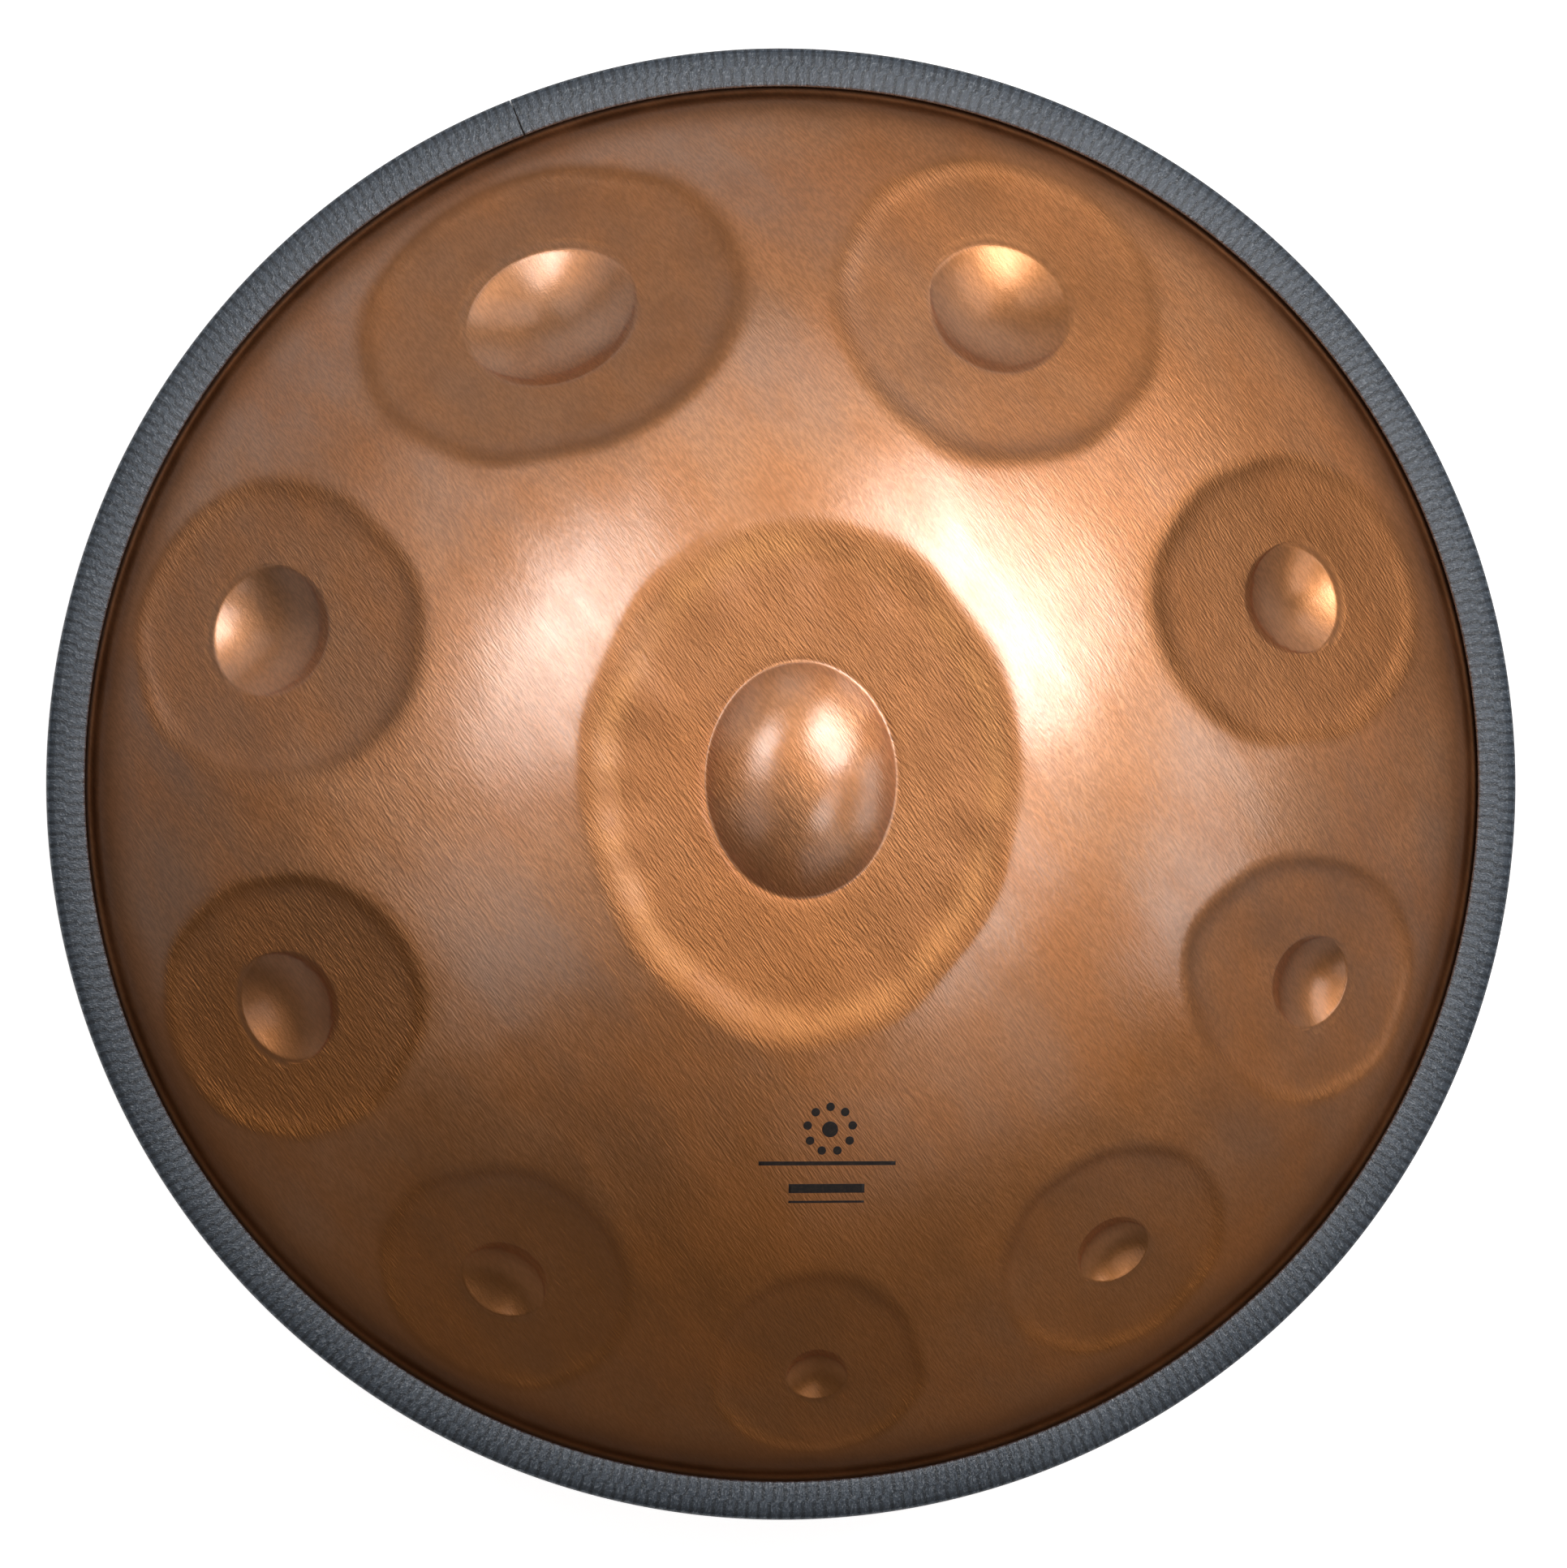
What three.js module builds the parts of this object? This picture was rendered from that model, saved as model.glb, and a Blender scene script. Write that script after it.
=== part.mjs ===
// A handpan: a ten-note steel hand drum that is played on the lap with the fingers.
// Two drawn steel shells lie flange to flange with a glue line between them, and a U-shaped vinyl edge
// trim with a steel core grips the flanges. The upper shell holds the domed centre note (the ding) and
// nine pitted tone fields round it. The lower shell has the sound port (the gu), folded inwards.
// Millimetres and degrees, +Z up. The part's origin lies under the centre, on the plane that the port's
// folded ring rests on. The pieces are drawn about the middle of the glue line and lifted at the end.
import * as THREE from "three";

// Sheet and shell profile: a spherical crown, a tighter knuckle, a fillet and a flat flange.
const SHEET = 1.2;
const CROWN_RADIUS = 340;
const KNUCKLE_RADIUS = 35;
const KNUCKLE_END = 250; // plan radius where the knuckle meets the fillet
const WALL_SLOPE = 70; // steepest slope of a shell, where knuckle and fillet meet
const FILLET_RADIUS = 4;
const FLANGE_RADIUS = 264.5;

// Glue line between the flanges, ending in a small bead in the groove on its inner side.
const GLUE_LINE = 0.6;
const GLUE_CLEARANCE = 0.05;
const GLUE_RADII = [251, 253.2, 263.8]; // bead's inner edge, flange's start, outer edge
const BEAD_HALF_HEIGHT = 0.45;

// Sound port: the sheet turns up into a neck, and its fold has a narrow flat land to rest on.
const PORT_RADIUS = 52;
const FOLD_RADIUS = 9;
const LAND_WIDTH = 3.5;
const NECK_LENGTH = 26;

// Tone fields: each is a flattened, slightly sunk oval with a pit in it. `bearing` runs from +X, seen
// from above, and `radius` is in plan. `field` gives the half-width round the rim and the half-lengths
// towards the pole and the rim, `pit` the half-width and half-length, and `turn` swings both.
const NOTES = [
  { bearing: 20, radius: 193, field: [52, 66, 60], pit: [20, 22], turn: 0 },
  { bearing: 66.5, radius: 187.5, field: [60, 68, 68], pit: [26, 29], turn: 0 },
  { bearing: 117.5, radius: 190, field: [71, 62, 65], pit: [32, 30], turn: -20 },
  { bearing: 164, radius: 196, field: [54, 67, 60], pit: [23.5, 25.5], turn: 0 },
  { bearing: 204, radius: 198, field: [47, 59, 56], pit: [20, 21], turn: 0 },
  { bearing: 240, radius: 207, field: [46, 52, 48], pit: [16, 16.5], turn: 0 },
  { bearing: 272.5, radius: 214, field: [38, 50, 38], pit: [11, 12], turn: 0 },
  { bearing: 304.5, radius: 205, field: [44, 46, 44], pit: [14, 14], turn: 0 },
  { bearing: 339, radius: 201.5, field: [44.5, 61, 50], pit: [17, 18], turn: 0 },
];
const FIELD_SINK = 1.1; // step down at a field's edge, below a plain flat
const FIELD_WALL = [0.84, 1.04]; // share of the field's size over which that step runs
const FIELD_SOFTNESS = 0.12;
const PIT_STEEPNESS = 0.23; // depth over mean half-width
const PIT_SOFTNESS = 0.06;

// The ding: an upright oval field at the pole with an outward dome in it.
const DING_FIELD = [74, 90.5];
const DING_SINK = 2;
const DOME = [34, 42];
const DOME_HEIGHT = 13;

// Edge trim: a vinyl U-section over both flanges, with fins that grip them and a steel core inside.
const TRIM_RADII = [253.5, 267.5];
const TRIM_HALF_HEIGHT = 4.7;
const TRIM_CORNER = 2.4;
const TRIM_LIP = 0.8;
const SLOT_HALF_HEIGHT = 2.3;
const SLOT_END = 265.5;
const FIN_RADIUS = 258;
const FIN_WIDTH = 2.4;
const FIN_TIP = 1.8; // height of a fin's tip above the glue line's middle
const CORE_ARM_END = 255.2;
const CORE_WEB_RADIUS = 266.5;
const CORE_ARM_HEIGHT = 3.45;
const CORE_BEND = 1.2;
const CORE_THICKNESS = 0.6;
const CORE_CLEARANCE = 0.15;
const SEAM_BEARING = 112; // where the strip's two ends meet
const SEAM_GAP = 0.9;

// How finely the round shapes are cut.
const LATHE_SEGMENTS = 48;
const TRIM_STEPS = 48;
const WIDEST_SPOKE_GAP = 7;
const DOME_RINGS = [0.5, 0.96, 1.05, 1.4]; // shares of the dome's size
const DING_RINGS = [0.84, 0.95, 1.05]; // shares of the ding field's size
const CROWN_RINGS = 13;
const PLAIN_RING = 130; // from this radius outwards the mesh's rings are true circles

const { degToRad, radToDeg, lerp, smoothstep } = THREE.MathUtils;
const { asin, cos, sin, sqrt, hypot, ceil, PI } = Math;

// Evenly spaced values from one end to the other, both included.
function spread(from, to, steps) {
  return Array.from({ length: steps + 1 }, (_, step) => lerp(from, to, step / steps));
}

// Arc centres and joints of the upper shell's outer face, which follow from the dimensions above.
const wallSlope = degToRad(WALL_SLOPE);
const flangeTop = GLUE_LINE / 2 + SHEET;
const flangeStart = KNUCKLE_END + FILLET_RADIUS * sin(wallSlope);
const filletHeight = flangeTop + FILLET_RADIUS;
const knuckleAxis = KNUCKLE_END - KNUCKLE_RADIUS * sin(wallSlope);
const knuckleHeight = filletHeight - (FILLET_RADIUS + KNUCKLE_RADIUS) * cos(wallSlope);
const crownSlope = asin(knuckleAxis / (CROWN_RADIUS - KNUCKLE_RADIUS));
const crownEnd = CROWN_RADIUS * sin(crownSlope);
const crownHeight = knuckleHeight - (CROWN_RADIUS - KNUCKLE_RADIUS) * cos(crownSlope);

// The port's two fold arcs, one on each side of the flat land, on the mirrored lower shell.
const foldAxes = [PORT_RADIUS + FOLD_RADIUS, PORT_RADIUS + FOLD_RADIUS + LAND_WIDTH];
const landSlope = asin(foldAxes[1] / (CROWN_RADIUS - FOLD_RADIUS));
const foldHeight = -crownHeight - (CROWN_RADIUS - FOLD_RADIUS) * cos(landSlope);
const REST_HEIGHT = FOLD_RADIUS - foldHeight;

// Height and slope of the plain upper shell's outer face at a plan radius.
function profileAt(radius) {
  if (radius <= crownEnd) {
    const slope = asin(radius / CROWN_RADIUS);
    return { slope, height: crownHeight + CROWN_RADIUS * cos(slope) };
  }
  if (radius <= KNUCKLE_END) {
    const slope = asin((radius - knuckleAxis) / KNUCKLE_RADIUS);
    return { slope, height: knuckleHeight + KNUCKLE_RADIUS * cos(slope) };
  }
  const slope = asin(Math.max(flangeStart - radius, 0) / FILLET_RADIUS);
  return { slope, height: filletHeight - FILLET_RADIUS * cos(slope) };
}

// A point of that face and its normal, from a bearing in radians and a plan radius.
function plainFace(bearing, radius) {
  const { slope, height } = profileAt(radius);
  const point = new THREE.Vector3(radius * cos(bearing), radius * sin(bearing), height);
  const normal = new THREE.Vector3(cos(bearing) * sin(slope), sin(bearing) * sin(slope), cos(slope));
  return { point, normal };
}

// Zero below zero and x above it, with the corner rounded between -softness and softness.
function softRamp(x, softness) {
  if (x <= -softness) return 0;
  return x >= softness ? x : (x + softness) ** 2 / (4 * softness);
}

// How far a flattened and sunk oval lies below the crown. `share` is 1 on its edge.
function fieldDepth(share, halfWidth, halfLength, sink) {
  const sagitta = (halfWidth * halfLength) / (2 * CROWN_RADIUS);
  const step = sink * (1 - smoothstep(share, ...FIELD_WALL));
  return sagitta * softRamp(1 - share ** 2, FIELD_SOFTNESS) + step;
}

// A note with its centre on the shell and its two axes in the shell's tangent plane there.
function placedNote(note) {
  const bearing = degToRad(note.bearing);
  const { point: centre, normal } = plainFace(bearing, note.radius);
  const along = new THREE.Vector3(cos(bearing), sin(bearing), 0).projectOnPlane(normal).normalize();
  along.applyAxisAngle(normal, degToRad(note.turn));
  return { ...note, centre, along, aside: normal.clone().cross(along) };
}

const placedNotes = NOTES.map(placedNote);

// How far one note pushes a point of the crown inwards.
function noteDepth({ centre, along, aside, field, pit }, point) {
  const offset = point.clone().sub(centre);
  const rimward = offset.dot(along);
  const sideways = offset.dot(aside);
  const [halfWidth, poleLength, rimLength] = field;
  const share = hypot(sideways / halfWidth, rimward / (rimward < 0 ? poleLength : rimLength));
  const pitShare = hypot(sideways / pit[0], rimward / pit[1]);
  const pitDepth = (PIT_STEEPNESS * (pit[0] + pit[1])) / 2;
  const flat = fieldDepth(share, halfWidth, (poleLength + rimLength) / 2, FIELD_SINK);
  return flat + pitDepth * softRamp(1 - pitShare ** 2, PIT_SOFTNESS);
}

// How far the ding pushes a point inwards, which is negative on its dome.
function dingDepth({ x, y }) {
  const flat = fieldDepth(hypot(x / DING_FIELD[0], y / DING_FIELD[1]), ...DING_FIELD, DING_SINK);
  const domeShare = hypot(x / DOME[0], y / DOME[1]);
  return flat - DOME_HEIGHT * softRamp(1 - domeShare ** 2, PIT_SOFTNESS);
}

// The outer and inner face of the upper shell at a bearing and plan radius.
function shellPair(bearing, radius) {
  const { point, normal } = plainFace(bearing, radius);
  const depth = placedNotes.reduce((sum, note) => sum + noteDepth(note, point), dingDepth(point));
  const outer = point.addScaledVector(normal, -depth);
  return [outer, outer.clone().addScaledVector(normal, -SHEET)];
}

// Bearings of the upper shell's mesh lines: at each field's and pit's edges, and enough between them.
function spokeBearings() {
  const edges = NOTES.flatMap(({ bearing, radius, field, pit }) => {
    const fieldEdge = radToDeg(asin(field[0] / radius));
    const pitEdge = radToDeg(asin(pit[0] / radius));
    const turns = [-fieldEdge, -pitEdge, -pitEdge / 2, pitEdge / 2, pitEdge, fieldEdge];
    return turns.map((turn) => (bearing + turn + 360) % 360);
  });
  edges.sort((a, b) => a - b);
  return edges.flatMap((edge, index) => {
    const next = edges[index + 1] ?? edges[0] + 360;
    return spread(edge, next, ceil((next - edge) / WIDEST_SPOKE_GAP)).slice(0, -1);
  });
}

// Plan radii of its rings. Near the ding they are mean radii, because the rings are ovals there.
function ringRadii() {
  const domeMean = sqrt(DOME[0] * DOME[1]);
  const dingMean = sqrt(DING_FIELD[0] * DING_FIELD[1]);
  return [
    ...DOME_RINGS.map((share) => share * domeMean),
    ...DING_RINGS.map((share) => share * dingMean),
    ...spread(dingMean * 1.25, crownEnd, CROWN_RINGS),
    ...spread(crownEnd, KNUCKLE_END, 3).slice(1),
    ...spread(KNUCKLE_END, flangeStart, 2).slice(1),
    FLANGE_RADIUS,
  ];
}

// A ring's radius at a bearing: the ding's oval inside, and a circle from PLAIN_RING outwards.
function ringRadiusAt(mean, bearing) {
  const dingMean = sqrt(DING_FIELD[0] * DING_FIELD[1]);
  const oval = dingMean / hypot(cos(bearing) * DING_FIELD[1], sin(bearing) * DING_FIELD[0]);
  return mean * lerp(oval, 1, smoothstep(mean, dingMean, PLAIN_RING));
}

// The upper shell: an outer and an inner net of rings and spokes, closed round the flange's edge.
function upperShell() {
  const spokes = spokeBearings().map(degToRad);
  const rings = ringRadii();
  const count = spokes.length;
  const faceSize = 1 + rings.length * count;
  const pairs = [shellPair(0, 0), ...rings.flatMap((mean) => (
    spokes.map((bearing) => shellPair(bearing, ringRadiusAt(mean, bearing)))
  ))];
  const vertex = (ring, spoke) => 1 + ring * count + (spoke % count);
  const index = [];
  const addBothFaces = (a, b, c) => index.push(a, b, c, a + faceSize, c + faceSize, b + faceSize);
  for (let spoke = 0; spoke < count; spoke += 1) {
    addBothFaces(0, vertex(0, spoke), vertex(0, spoke + 1));
    for (let ring = 0; ring + 1 < rings.length; ring += 1) {
      const [a, b] = [vertex(ring, spoke), vertex(ring + 1, spoke)];
      const [d, c] = [vertex(ring, spoke + 1), vertex(ring + 1, spoke + 1)];
      addBothFaces(a, b, c);
      addBothFaces(a, c, d);
    }
    const [edge, nextEdge] = [vertex(rings.length - 1, spoke), vertex(rings.length - 1, spoke + 1)];
    index.push(edge, edge + faceSize, nextEdge + faceSize, edge, nextEdge + faceSize, nextEdge);
  }
  const points = [...pairs.map(([outer]) => outer), ...pairs.map(([, inner]) => inner)];
  const geometry = new THREE.BufferGeometry().setFromPoints(points);
  geometry.setIndex(index);
  geometry.computeVertexNormals();
  return geometry;
}

// Turns a closed profile of [radius, height] pairs, listed anticlockwise, round +Z.
function turned(profile) {
  const points = [...profile, profile[0]].map(([radius, height]) => new THREE.Vector2(radius, height));
  return new THREE.LatheGeometry(points, LATHE_SEGMENTS).rotateX(PI / 2);
}

// Stations along an arc of the lower shell's outer face. A negative radius is a hollow arc.
function arcStations(axis, height, radius, slopes, steps) {
  return spread(...slopes, steps).map((slope) => ({
    radius: axis + radius * sin(slope),
    height: height - radius * cos(slope),
    slope,
  }));
}

// The lower shell: its outer face from the neck's tip to the flange's edge, and the sheet inside it.
function lowerShell() {
  const stations = [
    { radius: PORT_RADIUS, height: foldHeight + NECK_LENGTH, slope: -PI / 2 },
    ...arcStations(foldAxes[0], foldHeight, FOLD_RADIUS, [-PI / 2, 0], 4),
    ...arcStations(foldAxes[1], foldHeight, FOLD_RADIUS, [0, landSlope], 1),
    ...arcStations(0, -crownHeight, CROWN_RADIUS, [landSlope, crownSlope], 6).slice(1),
    ...arcStations(knuckleAxis, -knuckleHeight, KNUCKLE_RADIUS, [crownSlope, wallSlope], 3).slice(1),
    ...arcStations(flangeStart, -filletHeight, -FILLET_RADIUS, [wallSlope, 0], 2).slice(1),
    { radius: FLANGE_RADIUS, height: -flangeTop, slope: 0 },
  ];
  const outer = stations.map(({ radius, height }) => [radius, height]);
  const inner = stations.map(({ radius, height, slope }) => (
    [radius - SHEET * sin(slope), height + SHEET * cos(slope)]
  ));
  return turned([...outer, ...inner.reverse()]);
}

// The glue: a thin ring between the flanges that thickens a little where the groove opens.
function glueRing() {
  const [bead, start, end] = GLUE_RADII;
  const half = GLUE_LINE / 2 - GLUE_CLEARANCE;
  const lower = [[bead, -BEAD_HALF_HEIGHT], [start, -half], [end, -half]];
  const upper = lower.map(([radius, height]) => [radius, -height]).reverse();
  return turned([...lower, ...upper]);
}

// The line that the edge strip follows, from one end of the strip round to the other.
class RimArc extends THREE.Curve {
  getPoint(t, target = new THREE.Vector3()) {
    const angle = t * (2 * PI - SEAM_GAP / TRIM_RADII[1]);
    return target.set(TRIM_RADII[1] * cos(angle), TRIM_RADII[1] * sin(angle), 0);
  }
}

// Corner of an outline: points of an arc about a centre, from one direction to another in degrees.
function corner(radius, height, bend, from, to, steps = 1) {
  return spread(degToRad(from), degToRad(to), steps).map((angle) => (
    [radius + bend * cos(angle), height + bend * sin(angle)]
  ));
}

// Adds an outline's mirror image in the glue line's plane, to close it.
function withMirror(outline) {
  return [...outline, ...outline.map(([radius, height]) => [radius, -height]).reverse()];
}

// Sweeps [radius, height] outlines round the rim. An outline after the first is a hollow in it.
function sweptStrip(outline, ...hollows) {
  const toSection = ([radius, height]) => new THREE.Vector2(-height, TRIM_RADII[1] - radius);
  const shape = new THREE.Shape(outline.map(toSection));
  shape.holes = hollows.map((hollow) => new THREE.Path(hollow.map(toSection)));
  const geometry = new THREE.ExtrudeGeometry(shape, { steps: TRIM_STEPS, extrudePath: new RimArc() });
  return geometry.rotateZ(degToRad(SEAM_BEARING) + SEAM_GAP / TRIM_RADII[1] / 2);
}

// Outline of the core's U, or of the hollow that holds it, half a thickness out from its middle.
function coreOutline(half) {
  const bendAxis = [CORE_WEB_RADIUS - CORE_BEND, CORE_ARM_HEIGHT - CORE_BEND];
  const end = CORE_ARM_END - (half - CORE_THICKNESS / 2);
  return withMirror([
    ...corner(...bendAxis, CORE_BEND - half, 0, 90),
    [end, CORE_ARM_HEIGHT - half],
    [end, CORE_ARM_HEIGHT + half],
    ...corner(...bendAxis, CORE_BEND + half, 90, 0),
  ]);
}

// The vinyl cover: rounded outside, with a slot for the flanges and one fin on each side of it.
function trimCover() {
  const [inner, outer] = TRIM_RADII;
  const outline = withMirror([
    [SLOT_END, SLOT_HALF_HEIGHT],
    [FIN_RADIUS + FIN_WIDTH, SLOT_HALF_HEIGHT],
    [FIN_RADIUS, FIN_TIP],
    [FIN_RADIUS - FIN_WIDTH / 2, SLOT_HALF_HEIGHT],
    [inner, SLOT_HALF_HEIGHT],
    ...corner(inner + TRIM_LIP, TRIM_HALF_HEIGHT - TRIM_LIP, TRIM_LIP, 180, 90),
    ...corner(outer - TRIM_CORNER, TRIM_HALF_HEIGHT - TRIM_CORNER, TRIM_CORNER, 90, 0, 2),
  ]);
  return sweptStrip(outline, coreOutline(CORE_THICKNESS / 2 + CORE_CLEARANCE));
}

const bronzedSteel = { color: 0xb07c58, roughness: 0.38, metalness: 1 };
const vinyl = { color: 0x50575f, roughness: 0.5, metalness: 0 };
const coreSteel = { color: 0x8f9398, roughness: 0.4, metalness: 1 };
const glue = { color: 0x26272a, roughness: 0.6, metalness: 0 };

const handpan = new THREE.Group();

function addPiece(name, geometry, finish) {
  const piece = new THREE.Mesh(geometry, new THREE.MeshStandardMaterial(finish));
  piece.name = name;
  handpan.add(piece);
}

addPiece("top_shell", upperShell(), bronzedSteel);
addPiece("bottom_shell", lowerShell(), bronzedSteel);
addPiece("seam_adhesive", glueRing(), glue);
addPiece("edge_trim_cover", trimCover(), vinyl);
addPiece("edge_trim_core", sweptStrip(coreOutline(CORE_THICKNESS / 2)), coreSteel);
handpan.position.z = REST_HEIGHT;

export default handpan;
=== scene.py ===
"""Looks of a handpan: a ten-note steel hand drum of two bronzed shells with a vinyl edge trim.

Shapes are worked out in millimetres about the middle of the glue line between the two flanges, and
lifted into the frame when a piece is made. +Z runs up through the ding's dome, and +Y points at the
two largest tone fields. Bearings run anticlockwise from +X, seen from above.
"""
import math

import bpy
import numpy as np
from mathutils import Matrix, Vector, geometry


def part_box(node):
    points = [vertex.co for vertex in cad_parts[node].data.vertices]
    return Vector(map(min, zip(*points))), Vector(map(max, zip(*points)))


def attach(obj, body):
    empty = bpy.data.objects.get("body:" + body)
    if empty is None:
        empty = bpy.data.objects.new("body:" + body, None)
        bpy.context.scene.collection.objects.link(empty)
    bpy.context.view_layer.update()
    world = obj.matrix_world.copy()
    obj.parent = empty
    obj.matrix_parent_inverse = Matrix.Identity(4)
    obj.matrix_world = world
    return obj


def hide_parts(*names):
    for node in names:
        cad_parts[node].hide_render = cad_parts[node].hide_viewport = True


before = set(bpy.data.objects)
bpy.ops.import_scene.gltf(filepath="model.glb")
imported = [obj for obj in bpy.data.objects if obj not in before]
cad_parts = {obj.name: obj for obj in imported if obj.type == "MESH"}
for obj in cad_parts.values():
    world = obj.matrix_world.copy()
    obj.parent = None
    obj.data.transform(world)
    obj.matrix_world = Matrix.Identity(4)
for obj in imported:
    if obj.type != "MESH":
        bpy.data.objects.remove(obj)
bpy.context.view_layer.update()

MM = 0.001
TAU = 2 * math.pi

# Sheet and shell profile, as the part has them: crown, knuckle, fillet and flange.
SHEET = 1.2
CROWN_RADIUS = 340
KNUCKLE_RADIUS = 35
KNUCKLE_END = 250
WALL_SLOPE = math.radians(70)
FILLET_RADIUS = 4
FLANGE_RADIUS = 264.5
FLANGE_MIDDLE = 258
FLANGE_ROUNDING = 0.2  # rounding of the flanges' cut edges
GLUE_LINE = 0.6

# Sound port.
PORT_RADIUS = 52
FOLD_RADIUS = 9
LAND_WIDTH = 3.5
NECK_LENGTH = 26
NECK_LIP = 0.35  # rounding of the neck's cut edge

# Tone fields, as the part has them: bearing, plan radius, (half-width, length to the pole, length
# to the rim), (pit half-width, pit half-length) and turn.
NOTES = [
    (20, 193, (52, 66, 60), (20, 22), 0),
    (66.5, 187.5, (60, 68, 68), (26, 29), 0),
    (117.5, 190, (71, 62, 65), (32, 30), -20),
    (164, 196, (54, 67, 60), (23.5, 25.5), 0),
    (204, 198, (47, 59, 56), (20, 21), 0),
    (240, 207, (46, 52, 48), (16, 16.5), 0),
    (272.5, 214, (38, 50, 38), (11, 12), 0),
    (304.5, 205, (44, 46, 44), (14, 14), 0),
    (339, 201.5, (44.5, 61, 50), (17, 18), 0),
]
FIELD_SINK = 1.1
FIELD_WALL = (0.84, 1.04)
FIELD_SOFTNESS = 0.12
PIT_STEEPNESS = 0.23
PIT_SOFTNESS = 0.05
DING_FIELD = (74, 90.5)
DING_SINK = 2
DOME = (34, 42)
DOME_HEIGHT = 13
DOME_SOFTNESS = 0.03
DOME_GROOVE = 0.25  # depth of the crease round the dome's foot

# Hammer work: long low waves over the whole crown, and lumps round the edge of each field.
WAVE_COUNT = 30
WAVE_LENGTHS = (24, 75)
WAVE_DEPTH = 0.075
EDGE_WANDER = 0.012  # share of a field's size by which its edge strays
DING_LUMPS = 0.2  # share of the ding's sink by which it varies round the edge
DING_WAVES = 0.075  # depth of the hammer marks in the ding's field

# How deeply each tone field, in the order above, was tinted by its heat treatment.
FIELD_HEAT = (0.75, 0.25, 0.45, 0.28, 0.8, 0.3, 0.22, 0.2, 0.12)
DING_HEAT = 0.8
DOME_HEAT = 0.2
EDGE_DARKENING = 0.4  # how much darker the line round each field is made
PIT_SPARED = 0.75  # share of a field's tint that its pit was spared

# Printed mark of ten dots and three plain bars: (middle x, middle y, half-width, half-height).
MARK_CENTRE = (10.7, -121.5)
MARK_RING = (8, 9)  # radius and count of the outer dots
MARK_DOTS = (1.5, 2.8)  # radii of the outer dots and the middle one
MARK_BARS = [(10, -133.6, 24, 0.7), (10, -142.6, 13.3, 1.6), (10, -147.4, 13.3, 0.4)]
INK_THICKNESS = 0.04

# Edge trim. Its outer radius comes from the frame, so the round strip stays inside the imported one.
trim_low, trim_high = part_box("edge_trim_cover")
TRIM_OUTER = min(*trim_high[:2], *(-trim_low)[:2]) / MM
TRIM_INNER = 253.5
TRIM_HALF_HEIGHT = 4.7
TRIM_CORNER = 2.4
TRIM_LIP = 0.8
SLOT_HALF_HEIGHT = 2.3
SLOT_END = 265.4
FIN_RADIUS = 258
FIN_WIDTH = 2.4
FIN_TIP = 1.8
RIB_COUNT = 408
RIB_RELIEF = 0.2
RIB_STAGGER = 0.4  # how far the outer row of ribs is shifted, in ribs
RIB_STEPS = (0, 0.14, 0.36, 0.64, 0.86)  # where each rib is cut into cells, as shares of it
TRIM_CROWNING = 30000  # how fast the padding's bump map falls outwards, per square metre
WRINKLE_RADIUS = 0.26  # plan radius, in metres, at which the vinyl's wrinkles are spaced
CORE_ARM_END = 255.2
CORE_WEB_RADIUS = 266.3
CORE_ARM_HEIGHT = 3.45
CORE_BEND = 1.2
CORE_THICKNESS = 0.5
HOLLOW_THICKNESS = 0.8
SEAM_BEARING = math.radians(112)
SEAM_GAP = 0.5

# The hand-brushed grain runs down to the right, this far below +X.
BRUSH_SLANT = math.radians(54)

# Camera: distance from the rim's centre, focal length in mm for a 36 mm sensor, lean from the
# vertical towards +X and +Y in degrees, and shift in shares of the frame's width.
CAMERA_DISTANCE = 2.2
CAMERA_LENS = 139
CAMERA_LEAN = (-3, -0.6)
CAMERA_SHIFT = (-0.001036, -0.000518)

# Studio: each softbox's tilt from the vertical, bearing, (spread round the vertical, spread towards
# it), all in degrees as seen from the middle of the rim, and radiance.
SOFTBOX_DISTANCE = 2.2
SOFTBOXES = [
    ("left_middle", 35, 143, (14, 13), 3.6),
    ("left_low", 33, 166, (14, 15), 2.3),
    ("left_high", 36, 126, (14, 14), 2.0),
    ("right_inner", 26, 42, (26, 13), 2.6),
    ("right_middle", 35, 36, (26, 12), 4.9),
    ("right_outer", 45, 44, (30, 12), 2.3),
    ("right_high", 36, 64, (14, 16), 2.1),
    ("right_low", 36, 12, (14, 16), 0.95),
    ("fill_right", 29, -34, (26, 14), 1.5),
    ("fill_left", 41, 206, (22, 20), 0.4),
    ("strip_right", 57, -6, (34, 14), 1.2),
    ("strip_back", 54, 92, (30, 16), 0.5),
    ("strip_corner", 66, 46, (24, 16), 0.75),
    ("strip_left", 60, 140, (36, 16), 0.33),
    ("low_right", 48, -62, (36, 18), 0.33),
]

# Fineness of the meshes.
BLOCK_CELLS = 64  # each tone field has a square block of this many cells each way
BLOCK_RADII = (112, 247)
BORDER_RINGS = 5  # rings of a block outside its field's wall
OUTER_THINNED = (14, 66)  # mean radii below which outer rings keep every 4th and every 2nd spoke
INNER_THINNED = 40  # mean radius below which inner rings keep every 4th spoke, and else every 2nd
LATHE_SPOKES = 288
PATCH_RINGS = 12  # in each film of ink

# Where a block's rings lie round a note, as shares of the pit's size and then of the field's.
PIT_RINGS = [0, 0.14, 0.28, 0.41, 0.54, 0.66, 0.77, 0.86, 0.92, 0.96, 0.99, 1.01, 1.04, 1.08]
WALL_RINGS = [0.8, 0.85, 0.9, 0.94, 0.98, 1.02, 1.06]

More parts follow.
